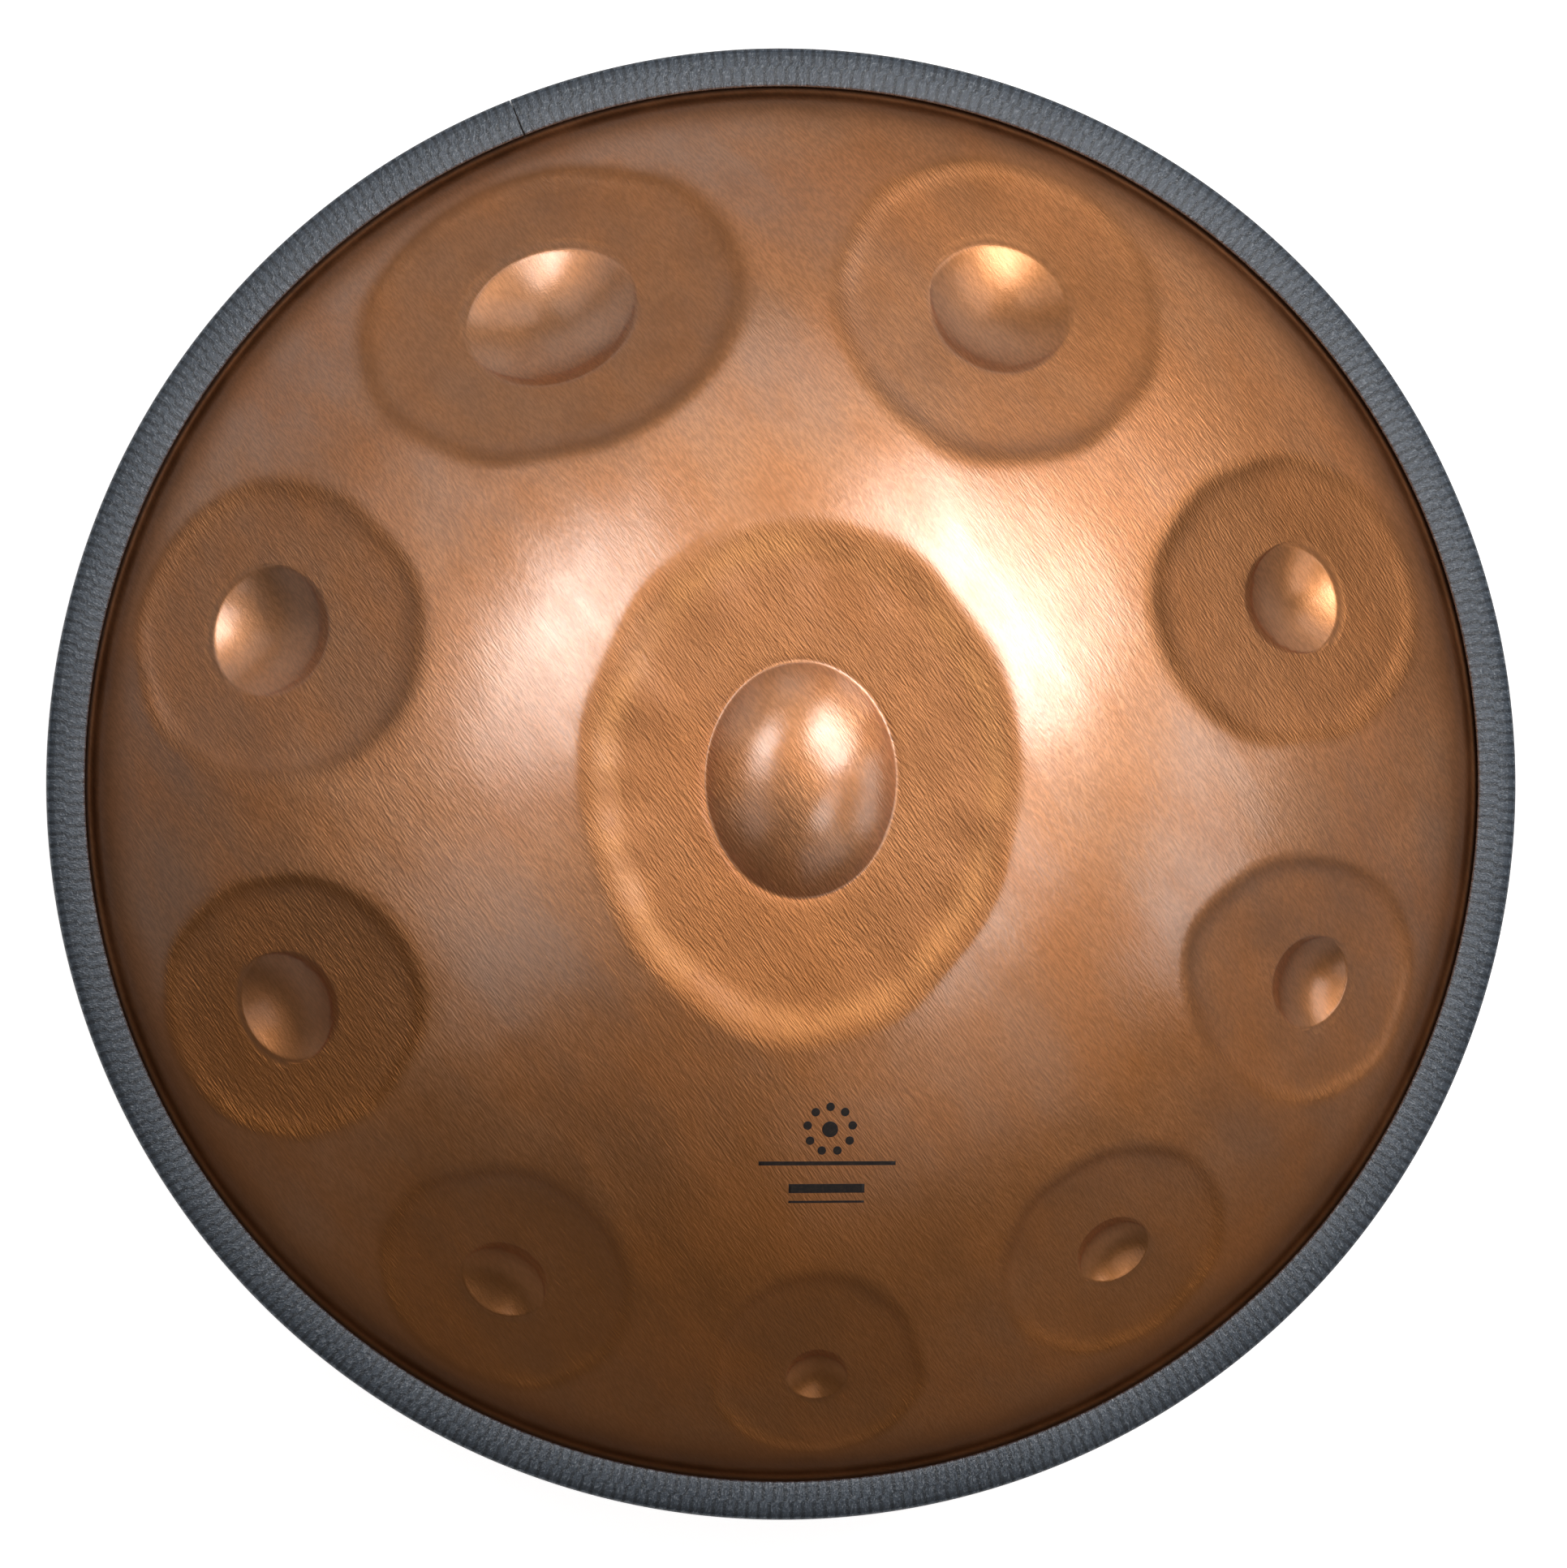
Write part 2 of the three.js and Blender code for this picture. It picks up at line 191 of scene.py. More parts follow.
# Arc centres and joints of the shells' outer faces, and the glue line's height in the frame.
flange_top = GLUE_LINE / 2 + SHEET
flange_start = KNUCKLE_END + FILLET_RADIUS * math.sin(WALL_SLOPE)
fillet_height = flange_top + FILLET_RADIUS
knuckle_axis = KNUCKLE_END - KNUCKLE_RADIUS * math.sin(WALL_SLOPE)
knuckle_height = fillet_height - (FILLET_RADIUS + KNUCKLE_RADIUS) * math.cos(WALL_SLOPE)
crown_slope = math.asin(knuckle_axis / (CROWN_RADIUS - KNUCKLE_RADIUS))
crown_end = CROWN_RADIUS * math.sin(crown_slope)
crown_height = knuckle_height - (CROWN_RADIUS - KNUCKLE_RADIUS) * math.cos(crown_slope)
fold_axes = (PORT_RADIUS + FOLD_RADIUS, PORT_RADIUS + FOLD_RADIUS + LAND_WIDTH)
land_slope = math.asin(fold_axes[1] / (CROWN_RADIUS - FOLD_RADIUS))
fold_height = -crown_height - (CROWN_RADIUS - FOLD_RADIUS) * math.cos(land_slope)
REST_HEIGHT = FOLD_RADIUS - fold_height


# ---------------------------------------------------------------- the upper shell's surface


def profile(radius):
    """Height and slope of the plain outer face at plan radii."""
    crown = np.arcsin(np.minimum(radius, crown_end) / CROWN_RADIUS)
    knuckle = np.arcsin(np.clip((radius - knuckle_axis) / KNUCKLE_RADIUS, -1, 1))
    fillet = np.arcsin(np.clip((flange_start - radius) / FILLET_RADIUS, 0, 1))
    zones = [radius <= crown_end, radius <= KNUCKLE_END]
    slope = np.select(zones, [crown, knuckle], fillet)
    arcs = [
        crown_height + CROWN_RADIUS * np.cos(crown),
        knuckle_height + KNUCKLE_RADIUS * np.cos(knuckle),
    ]
    return np.select(zones, arcs, fillet_height - FILLET_RADIUS * np.cos(fillet)), slope


def plain_face(plan):
    """Points of the plain outer face over plan positions, and its normals there."""
    radius = np.hypot(plan[..., 0], plan[..., 1])
    height, slope = profile(radius)
    outward = plan / np.maximum(radius, 1e-9)[..., None]
    point = np.concatenate([plan, height[..., None]], -1)
    normal = np.concatenate([outward * np.sin(slope)[..., None], np.cos(slope)[..., None]], -1)
    return point, normal


def soft_ramp(x, softness):
    """Zero below zero and x above it, with the corner rounded."""
    corner = (x + softness) ** 2 / (4 * softness)
    return np.where(x <= -softness, 0, np.where(x >= softness, x, corner))


def smooth_step(x, low, high):
    t = np.clip((x - low) / (high - low), 0, 1)
    return t * t * (3 - 2 * t)


def bell(x, middle, width):
    """One at the middle, falling away over about twice the width to each side."""
    return np.exp(-(((x - middle) / width) ** 2))


def field_depth(share, half_width, half_length, sink):
    """How far a flattened and sunk oval lies below the crown. share is 1 on its edge."""
    sagitta = half_width * half_length / (2 * CROWN_RADIUS)
    flat = sagitta * soft_ramp(1 - share**2, FIELD_SOFTNESS)
    return flat + sink * (1 - smooth_step(share, *FIELD_WALL))


def wander(angle, seed, lobes):
    """A smooth closed wave round a field, about -1 to 1, from a few seeded harmonics."""
    draw = np.random.default_rng(seed)
    harmonics = [np.cos(count * angle + draw.uniform(0, TAU)) for count in lobes]
    return sum(harmonics) / math.sqrt(len(lobes))


class Note:
    """One tone field: its centre on the crown, and its two axes in the tangent plane there."""

    def __init__(self, number, bearing, radius, field, pit, turn):
        self.number = number
        self.bearing = math.radians(bearing)
        self.radius = radius
        self.half_width, self.pole_length, self.rim_length = field
        self.pit = pit
        plan = radius * np.array([math.cos(self.bearing), math.sin(self.bearing)])
        self.centre, self.normal = plain_face(plan)
        _, slope = profile(np.array(float(radius)))
        out = np.append(plan / radius * math.cos(slope), -math.sin(slope))
        side = np.cross(self.normal, out)
        self.swing = math.radians(turn)
        self.along = out * math.cos(self.swing) + side * math.sin(self.swing)
        self.aside = np.cross(self.normal, self.along)

    def shares(self, point):
        """How far points lie from the centre, as shares of the field's size and of the pit's."""
        offset = point - self.centre
        rimward = offset @ self.along
        sideways = offset @ self.aside
        length = np.where(rimward < 0, self.pole_length, self.rim_length)
        share = np.hypot(sideways / self.half_width, rimward / length)
        angle = np.arctan2(rimward, sideways)
        strayed = share * (1 + EDGE_WANDER * wander(angle, self.number, (3, 5, 7, 9)))
        return strayed, np.hypot(sideways / self.pit[0], rimward / self.pit[1])

    def depth(self, point):
        share, pit_share = self.shares(point)
        pit_depth = PIT_STEEPNESS * sum(self.pit) / 2
        mean_length = (self.pole_length + self.rim_length) / 2
        flat = field_depth(share, self.half_width, mean_length, FIELD_SINK)
        return flat + pit_depth * soft_ramp(1 - pit_share**2, PIT_SOFTNESS)

    def ring(self, angle, half_width, pole_length, rim_length):
        """Plan positions of an oval round the note, dropped on the crown's sphere."""
        length = np.where(np.sin(angle) < 0, pole_length, rim_length)
        sideways = half_width * np.cos(angle)
        rimward = length * np.sin(angle)
        lift = np.sqrt(CROWN_RADIUS**2 - sideways**2 - rimward**2)
        sphere_centre = np.array([0, 0, crown_height])
        point = sphere_centre + sideways[..., None] * self.aside
        point = point + rimward[..., None] * self.along + lift[..., None] * self.normal
        return point[..., :2]


notes = [Note(number, *row) for number, row in enumerate(NOTES)]


def waves(point, seed, lengths, depth):
    """Low waves left by the hammer: a pressing-in between zero and about three times the depth."""
    draw = np.random.default_rng(seed)
    total = np.zeros(point.shape[:-1])
    for _ in range(WAVE_COUNT):
        length = draw.uniform(*lengths)
        heading = draw.uniform(0, TAU)
        phase = draw.uniform(0, TAU)
        travel = point[..., 0] * math.cos(heading) + point[..., 1] * math.sin(heading)
        total += np.cos(TAU * travel / length + phase) * length / lengths[1]
    spread = total / math.sqrt(WAVE_COUNT / 3)
    return depth * np.maximum(spread + 1.5, 0)


def ding_share(point):
    """How far points lie from the pole, as a share of the ding's size."""
    x, y = point[..., 0], point[..., 1]
    share = np.hypot(x / DING_FIELD[0], y / DING_FIELD[1])
    return share * (1 + EDGE_WANDER * wander(np.arctan2(y, x), 20, (3, 4, 7, 11)))


def dome_share(point):
    """How far points lie from the pole, as a share of the dome's size."""
    return np.hypot(point[..., 0] / DOME[0], point[..., 1] / DOME[1])


def ding_depth(point):
    """How far the ding pushes the crown inwards, which is negative on its dome."""
    share = ding_share(point)
    near_edge = smooth_step(share, 0.6, 0.9)
    angle = np.arctan2(point[..., 1], point[..., 0])
    lumps = DING_LUMPS * near_edge * wander(angle, 21, (6, 9, 14, 17))
    flat = field_depth(share, *DING_FIELD, DING_SINK * (1 + lumps))
    flat = flat + waves(point, 5, (18, 45), DING_WAVES) * (1 - smooth_step(share, 0.85, 1))
    groove = DOME_GROOVE * bell(dome_share(point), 1.03, 0.03)
    return flat + groove - DOME_HEIGHT * soft_ramp(1 - dome_share(point) ** 2, DOME_SOFTNESS)


def upper_face(plan, inset):
    """Points of the upper shell over plan positions, inset below its outer face."""
    point, normal = plain_face(plan)
    radius = np.hypot(plan[..., 0], plan[..., 1])
    depth = ding_depth(point)
    depth = depth + waves(point, 4, WAVE_LENGTHS, WAVE_DEPTH) * (1 - smooth_step(radius, 225, 248))
    for note in notes:
        depth = depth + note.depth(point)
    return point - normal * (depth + inset)[..., None]


def worked_masks(plan):
    """Shares of heat tint with a darker line round each field, of being in a pit, and of the painted
    sheen on the ding's edge, at plan positions.
    """
    point, _ = plain_face(plan)
    on_dome = 1 - smooth_step(dome_share(point), 0.97, 1.02)
    share = ding_share(point)
    # painted sheen: a band just inside the ding's edge that is made lighter and more golden
    edge_sheen = bell(share, 0.91, 0.06)
    heat = DING_HEAT + (DOME_HEAT - DING_HEAT) * on_dome
    heat = heat * (1 - smooth_step(share, 0.97, 1.08))
    pit = np.zeros(len(plan))
    for note, warmth in zip(notes, FIELD_HEAT):
        share, pit_share = note.shares(point)
        in_pit = 1 - smooth_step(pit_share, 0.98, 1.02)
        heat = heat + warmth * (1 - smooth_step(share, 0.92, 1.08)) * (1 - PIT_SPARED * in_pit)
        # a darker line round each field, added to its tint
        heat = heat + EDGE_DARKENING * bell(share, 0.97, 0.055)
        pit = pit + in_pit
    return heat, pit, edge_sheen


# ---------------------------------------------------------------- meshes from rings of points


def band(first, second):
    """Faces between two rings of vertex numbers. One ring may have twice as many as the other."""
    a, b = np.asarray(first), np.asarray(second)
    a_next, b_next = np.roll(a, -1), np.roll(b, -1)
    if len(a) == len(b):
        return np.stack([a, b, b_next, a_next], -1).tolist()
    if 2 * len(a) == len(b):
        middle, even, after = b[1::2], b[::2], b_next[1::2]
        faces = [(a, even, middle), (a, middle, a_next), (a_next, middle, after)]
    else:
        middle, even, after = a[1::2], a[::2], a_next[1::2]
        faces = [(even, b, middle), (middle, b, b_next), (middle, b_next, after)]
    return np.concatenate([np.stack(face, -1) for face in faces]).tolist()


def ring_faces(rings, closed=False):
    """Faces of a chain of rings, given as arrays of points. A single point is a pole."""
    starts = np.cumsum([0] + [len(ring) for ring in rings])
    numbers = [np.arange(low, high) for low, high in zip(starts[:-1], starts[1:])]
    pairs = list(zip(numbers[:-1], numbers[1:]))
    if closed:
        pairs.append((numbers[-1], numbers[0]))
    faces = []
    for a, b in pairs:
        if len(a) == 1:
            faces += np.stack([np.repeat(a, len(b)), b, np.roll(b, -1)], -1).tolist()
        elif len(b) == 1:
            faces += np.stack([a, np.repeat(b, len(a)), np.roll(a, -1)], -1).tolist()
        else:
            faces += band(a, b)
    return faces


def make_piece(name, points, faces, material):
    """A smooth-shaded object from points in millimetres about the glue line."""
    placed = (np.asarray(points) + [0, 0, REST_HEIGHT]) * MM
    mesh = bpy.data.meshes.new(name)
    mesh.from_pydata(placed.tolist(), [], faces)
    mesh.materials.append(material)
    mesh.shade_smooth()
    piece = bpy.data.objects.new(name, mesh)
    bpy.context.scene.collection.objects.link(piece)
    return piece


def stand_for(piece, node):
    """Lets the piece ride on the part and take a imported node's place."""
    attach(piece, "root")
    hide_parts(node)


# ---------------------------------------------------------------- upper shell


def block_borders():
    """Bearings between neighbouring tone fields, halfway between their edges."""
    half = [math.asin(note.half_width / note.radius) for note in notes]
    borders = []
    for index, note in enumerate(notes):
        before = notes[index - 1]
        bearing = before.bearing - (TAU if index == 0 else 0)
        borders.append((bearing + half[index - 1] + note.bearing - half[index]) / 2)
    return borders + [borders[0] + TAU]


def block_border(across, outwards, low, high):
    """Plan positions of places from -1 to 1 across and out of a block between two bearings."""
    bearing = low + (across + 1) / 2 * (high - low)
    radius = BLOCK_RADII[0] + (outwards + 1) / 2 * (BLOCK_RADII[1] - BLOCK_RADII[0])
    return radius[..., None] * np.stack([np.cos(bearing), np.sin(bearing)], -1)


def block_angles(u, v):
    """Angles round a note, evenly spaced along each side of a ring of its square block."""
    with np.errstate(divide="ignore", invalid="ignore"):
        from_side = math.pi / 4 * v / u + np.where(u < 0, math.pi, 0)
        from_top = math.pi / 2 - math.pi / 4 * u / v + np.where(v < 0, math.pi, 0)
    return np.nan_to_num(np.where(np.abs(u) >= np.abs(v), from_side, from_top))


def block_ovals(note, ring, angle, last):
    """Plan positions on the ovals of the pit, the flat and the wall, whose last ring is given."""
    between = last - len(PIT_RINGS) - len(WALL_RINGS) + 2
    pit_ring = np.clip(ring, 0, len(PIT_RINGS) - 1)
    wall_ring = np.clip(ring - len(PIT_RINGS) - between + 1, 0, len(WALL_RINGS) - 1)
    blend = np.clip((ring - len(PIT_RINGS) + 1) / between, 0, 1)
    of_pit = (1 - blend) * np.array(PIT_RINGS)[pit_ring]
    of_wall = blend * np.array(WALL_RINGS)[wall_ring]
    width = of_pit * note.pit[0] + of_wall * note.half_width
    pole = of_pit * note.pit[1] + of_wall * note.pole_length
    rim = of_pit * note.pit[1] + of_wall * note.rim_length
    return note.ring(angle + note.swing, width, pole, rim)


def block_plan(note, low, high):
    """Plan positions of one note's block, [across, outwards], its lines bent round the note."""
    steps = np.linspace(-1, 1, BLOCK_CELLS + 1)
    u, v = np.meshgrid(steps, steps, indexing="ij")
    reach = np.maximum(np.abs(u), np.abs(v))
    safe = np.maximum(reach, 1e-9)
    border = block_border(u / safe, v / safe, low, high)
    ring = np.rint(reach * BLOCK_CELLS / 2).astype(int)
    last = BLOCK_CELLS // 2 - BORDER_RINGS
    oval = block_ovals(note, ring, block_angles(u, v), last)
    outside = np.clip((ring - last) / BORDER_RINGS, 0, 1)[..., None]
    return (1 - outside) * oval + outside * border


def ding_rings():
    """Mean plan radii of the rings between the pole and the blocks, closer at the ding's edges."""
    dome = math.sqrt(DOME[0] * DOME[1])
    ding = math.sqrt(DING_FIELD[0] * DING_FIELD[1])
    dome_shares = [0.12, 0.24, 0.36, 0.48, 0.6, 0.7, 0.79, 0.87, 0.93, 0.97, 0.985, 1, 1.015]
    foot_shares = [1.03, 1.05, 1.08, 1.12, 1.18, 1.27, 1.38, 1.5, 1.62]
    wall = np.linspace(0.8, 1.1, 18) * ding
    outer = np.linspace(wall[-1], BLOCK_RADII[0], 9)[1:-1]
    return [*(np.array(dome_shares + foot_shares) * dome), *wall, *outer]


def ding_ring(directions, mean):
    """Plan positions of a ring about the pole: an oval by the ding, and a circle by the blocks."""
    ding = math.sqrt(DING_FIELD[0] * DING_FIELD[1])
    oval = ding / np.hypot(directions[:, 0] * DING_FIELD[1], directions[:, 1] * DING_FIELD[0])
    plain = smooth_step(mean, ding * 1.1, BLOCK_RADII[0])
    return directions * (mean * (oval + (1 - oval) * plain))[:, None]


def outer_plans(net, directions):
    """Plan positions of the outer face's rings, from the pole to the flange."""
    plans = [np.zeros((1, 2))]
    for mean in ding_rings():
        step = 4 if mean < OUTER_THINNED[0] else 2 if mean < OUTER_THINNED[1] else 1
        plans.append(ding_ring(directions, mean)[::step])
    plans += [net[:, row] for row in range(BLOCK_CELLS + 1)]
    radii = [
        *np.linspace(BLOCK_RADII[1], KNUCKLE_END, 4)[1:],
        *np.linspace(KNUCKLE_END, flange_start, 5)[1:],
        FLANGE_MIDDLE,
        FLANGE_RADIUS - FLANGE_ROUNDING,
    ]
    return plans + [directions * radius for radius in radii]


def inner_plans(directions):
    """Plan positions of the inner face's rings, from the flange back to the pole."""
    radii = [
        FLANGE_RADIUS - FLANGE_ROUNDING,
        FLANGE_MIDDLE,
        *np.linspace(flange_start, KNUCKLE_END, 4),
        *np.linspace(KNUCKLE_END, crown_end, 5)[1:],
        *np.linspace(crown_end, BLOCK_RADII[0], 34)[1:],
    ]
    plans = [directions[::2] * radius for radius in radii]
    for mean in ding_rings()[::-1][::2]:
        step = 4 if mean < INNER_THINNED else 2
        plans.append(ding_ring(directions, mean)[::step])
    return plans + [np.zeros((1, 2))]


def upper_shell(material):
    """The upper shell, with the masks of its worked places and of its painted sheen as attributes of
    its points.
    """
    borders = block_borders()
    blocks = [block_plan(note, *borders[index:index + 2])[:-1] for index, note in enumerate(notes)]
    net = np.concatenate(blocks)
    bearings = np.arctan2(net[:, 0, 1], net[:, 0, 0])
    directions = np.stack([np.cos(bearings), np.sin(bearings)], -1)
    edge_height = np.full((len(directions), 1), GLUE_LINE / 2 + SHEET / 2)
    rings = [upper_face(plan, 0) for plan in outer_plans(net, directions)]
    rings.append(np.concatenate([directions * FLANGE_RADIUS, edge_height], -1))
    rings += [upper_face(plan, SHEET) for plan in inner_plans(directions)]
    shell = make_piece("top_shell_sheet", np.concatenate(rings), ring_faces(rings), material)
    masks = worked_masks(np.concatenate([ring[:, :2] for ring in rings]))
    for name, values in zip(("tint", "pit", "edge_sheen"), masks):
        shell.data.attributes.new(name, "FLOAT", "POINT").data.foreach_set("value", values)
    return shell


def printed_patch(name, middle, outline, material):
    """A film of ink on the upper shell, inside an outline of plan offsets from its middle."""
    shares = np.linspace(0, 1, PATCH_RINGS + 1)[1:, None, None]
    plans = [np.zeros((1, 2)), *(outline * shares)]
    plans = [middle + plan for plan in plans]
    rings = [upper_face(plan, -INK_THICKNESS) for plan in plans]
    rings += [upper_face(plan, INK_THICKNESS) for plan in plans[::-1]]
    return make_piece(name, np.concatenate(rings), ring_faces(rings), material)


def printed_mark(material):
    """The ink patches: a dot ringed by smaller dots, like the drum's fields, over three bars."""
    turn = np.linspace(0, TAU, 48, endpoint=False)
    circle = np.stack([np.cos(turn), np.sin(turn)], -1)
    patches = [("mark_dot_0", MARK_CENTRE, MARK_DOTS[1] * circle)]
    for index in range(MARK_RING[1]):
        bearing = math.pi / 2 + TAU * index / MARK_RING[1]
        offset = MARK_RING[0] * np.array([math.cos(bearing), math.sin(bearing)])
        patches.append((f"mark_dot_{index + 1}", MARK_CENTRE + offset, MARK_DOTS[0] * circle))
    for index, (x, y, half_width, half_height) in enumerate(MARK_BARS):
        side = np.linspace((half_width, half_height), (-half_width, half_height), 33)
        patches.append((f"mark_bar_{index}", (x, y), np.concatenate([side, -side])))
    return [
        printed_patch(name, np.array(middle), outline, material)
        for name, middle, outline in patches
    ]


# ---------------------------------------------------------------- turned pieces


def turned(name, stations, material):
    """A closed profile of (radius, height) stations, listed clockwise, turned round +Z."""
    bearing = np.linspace(0, TAU, LATHE_SPOKES, endpoint=False)
    circle = np.stack([np.cos(bearing), np.sin(bearing)], -1)
    rings = [np.column_stack([circle * r, np.full(LATHE_SPOKES, z)]) for r, z in stations]
    return make_piece(name, np.concatenate(rings), ring_faces(rings, closed=True), material)


def arc(axis, height, radius, slopes, steps):
    """Stations (radius, height, slope) along an arc of the lower shell's outer face."""
    return [
        (axis + radius * math.sin(slope), height - radius * math.cos(slope), slope)
        for slope in np.linspace(*slopes, steps + 1)
    ]


def lower_shell(material):
    """The lower shell, from the port's neck over the fold and the crown to the flange."""
    neck = [fold_height + NECK_LENGTH * share for share in (0.9, 0.6, 0.3)]
    outer = [
        (PORT_RADIUS, fold_height + NECK_LENGTH - NECK_LIP, -math.pi / 2),
        *[(PORT_RADIUS, height, -math.pi / 2) for height in neck],
        *arc(fold_axes[0], fold_height, FOLD_RADIUS, (-math.pi / 2, 0), 16),
        *arc(fold_axes[1], fold_height, FOLD_RADIUS, (0, land_slope), 4),
        *arc(0, -crown_height, CROWN_RADIUS, (land_slope, crown_slope), 40)[1:],
        *arc(knuckle_axis, -knuckle_height, KNUCKLE_RADIUS, (crown_slope, WALL_SLOPE), 12)[1:],
        *arc(flange_start, -fillet_height, -FILLET_RADIUS, (WALL_SLOPE, 0), 6)[1:],
        (FLANGE_RADIUS - FLANGE_ROUNDING, -flange_top, 0),
    ]
    inner = [(r - SHEET * math.sin(slope), z + SHEET * math.cos(slope)) for r, z, slope in outer]
    flange_edge = (FLANGE_RADIUS, -GLUE_LINE / 2 - SHEET / 2)
    neck_edge = (PORT_RADIUS + SHEET / 2, fold_height + NECK_LENGTH)
    stations = [(r, z) for r, z, _ in outer] + [flange_edge] + inner[::-1] + [neck_edge]
    return turned("bottom_shell_sheet", stations[::-1], material)


def glue_ring(material):
    """The cured adhesive, with a rounded bead where it was squeezed out into the inner groove."""
    bead = [(250.85, -0.12), (251, -0.3), (251.5, -0.4), (252.4, -0.33)]
    lower = bead + [(253.3, -0.25), (263.8, -0.25)]
    upper = [(radius, -height) for radius, height in lower]
    return turned("seam_adhesive_bead", upper + lower[::-1], material)


# ---------------------------------------------------------------- edge trim


def corner(radius, height, bend, start, end, steps):
    """Points of an arc about a centre, with its directions in degrees."""
    angles = np.radians(np.linspace(start, end, steps + 1))
    return [(radius + bend * math.cos(a), height + bend * math.sin(a)) for a in angles]


def with_mirror(outline):
    """An outline of its upper half and that half's mirror image below."""
    return np.array(outline + [(radius, -height) for radius, height in outline[::-1]])


def u_outline(half):
    """Outline of a U that opens inwards, half a thickness to each side of its middle line."""
    axis = (CORE_WEB_RADIUS - CORE_BEND, CORE_ARM_HEIGHT - CORE_BEND)
    arm_end = CORE_ARM_END + CORE_THICKNESS / 2 - half
    return with_mirror([
        *corner(*axis, CORE_BEND - half, 0, 90, 3),
        (arm_end, CORE_ARM_HEIGHT - half),
        (arm_end, CORE_ARM_HEIGHT + half),
        *corner(*axis, CORE_BEND + half, 90, 0, 3),
    ])


def cover_outline():
    """Outline of the vinyl: the slot with its grip fins, then the lip and the top."""
    inner_lip = (TRIM_INNER + TRIM_LIP, TRIM_HALF_HEIGHT - TRIM_LIP)
    outer_corner = (TRIM_OUTER - TRIM_CORNER, TRIM_HALF_HEIGHT - TRIM_CORNER)
    flat = np.linspace(inner_lip[0], outer_corner[0], 9)[1:-1]
    return with_mirror([
        (SLOT_END, SLOT_HALF_HEIGHT),
        (FIN_RADIUS + FIN_WIDTH, SLOT_HALF_HEIGHT),
        (FIN_RADIUS, FIN_TIP),
        (FIN_RADIUS - FIN_WIDTH / 2, SLOT_HALF_HEIGHT),
        (TRIM_INNER, SLOT_HALF_HEIGHT),
        *corner(*inner_lip, TRIM_LIP, 180, 90, 3),
        *[(radius, TRIM_HALF_HEIGHT) for radius in flat],
        *corner(*outer_corner, TRIM_CORNER, 90, 0, 5),
    ])


def strip_angles(steps):
    """Angles along the strip from one cut end to the other, at the given shares of each rib."""
    span = TAU - SEAM_GAP / TRIM_OUTER
    shares = (np.arange(RIB_COUNT)[:, None] + np.array(steps)).ravel() / RIB_COUNT
    return SEAM_BEARING + SEAM_GAP / TRIM_OUTER / 2 + span * np.append(shares, 1)


def rib_relief(share, radius, height):
    """Relief of the cover over the core's ribs, negative between them. share counts the ribs."""
    across = (radius - TRIM_INNER) / (TRIM_OUTER - TRIM_INNER)
    shifted = share + np.where(across > 0.52, RIB_STAGGER, 0) + 0.06 * np.sin(share * 0.37)
    valley = bell(shifted - np.rint(shifted), 0, 0.16)
    patchy = 0.65 + 0.35 * np.sin(share * TAU / 31) * np.cos(share * TAU / 12.3)
    on_top = smooth_step(np.abs(height), SLOT_HALF_HEIGHT + 0.6, TRIM_HALF_HEIGHT - 0.3)
    edges = smooth_step(across, 0.02, 0.1) * (1 - smooth_step(across, 0.9, 0.99))
    return -RIB_RELIEF * valley * patchy * on_top * edges


def swept_points(outline, angles):
    """Points [angle, outline] of an outline swept round the rim."""
    radius, height = outline[:, 0], outline[:, 1]
    x = np.cos(angles)[:, None] * radius
    y = np.sin(angles)[:, None] * radius
    return np.stack([x, y, np.broadcast_to(height, x.shape)], -1)


def sweep_faces(rows, columns, start, inside_out=False):
    """Faces between the rows of a swept outline, whose points start at the given number."""
    grid = start + np.arange(rows * columns).reshape(rows, columns)
    a, b = grid[:-1], grid[1:]
    faces = np.stack([a, b, np.roll(b, -1, 1), np.roll(a, -1, 1)], -1).reshape(-1, 4)
    return (faces if inside_out else faces[:, ::-1]).tolist()


def end_faces(outlines, starts, last):
    """Faces over one cut end of the strip, between its outline and any hollow in it."""
    loops = [[Vector((r, z, 0)) for r, z in outline] for outline in outlines]
    runs = [start + np.arange(len(outline)) for outline, start in zip(outlines, starts)]
    numbers = np.concatenate(runs)
    flat = np.concatenate(outlines)
    faces = []
    for triangle in geometry.tessellate_polygon(loops):
        a, b, c = flat[list(triangle)]
        area = (b[0] - a[0]) * (c[1] - a[1]) - (b[1] - a[1]) * (c[0] - a[0])
        face = numbers[list(triangle)].tolist()
        faces.append(face if (area > 0) != last else face[::-1])
    return faces


def trim_cover(material):
    """The vinyl strip, ribbed on both sides, with a hollow for its core."""
    outline = cover_outline()
    hollow = u_outline(HOLLOW_THICKNESS / 2)
    fine, coarse = strip_angles(RIB_STEPS), strip_angles([0])
    outer = swept_points(outline, fine)
    along = (fine - fine[0]) / (fine[-1] - fine[0]) * RIB_COUNT
    relief = rib_relief(along[:, None], outline[:, 0], outline[:, 1])
    outer[..., 2] += relief * np.sign(outline[:, 1])
    inner = swept_points(hollow, coarse)
    points = np.concatenate([outer.reshape(-1, 3), inner.reshape(-1, 3)])
    inner_start = outer.shape[0] * outer.shape[1]
    faces = sweep_faces(len(fine), len(outline), 0)
    faces += sweep_faces(len(coarse), len(hollow), inner_start, inside_out=True)
    faces += end_faces([outline, hollow], [0, inner_start], last=False)
    last_rows = [inner_start - len(outline), len(points) - len(hollow)]
    faces += end_faces([outline, hollow], last_rows, last=True)
    return make_piece("edge_trim_vinyl", points, faces, material)


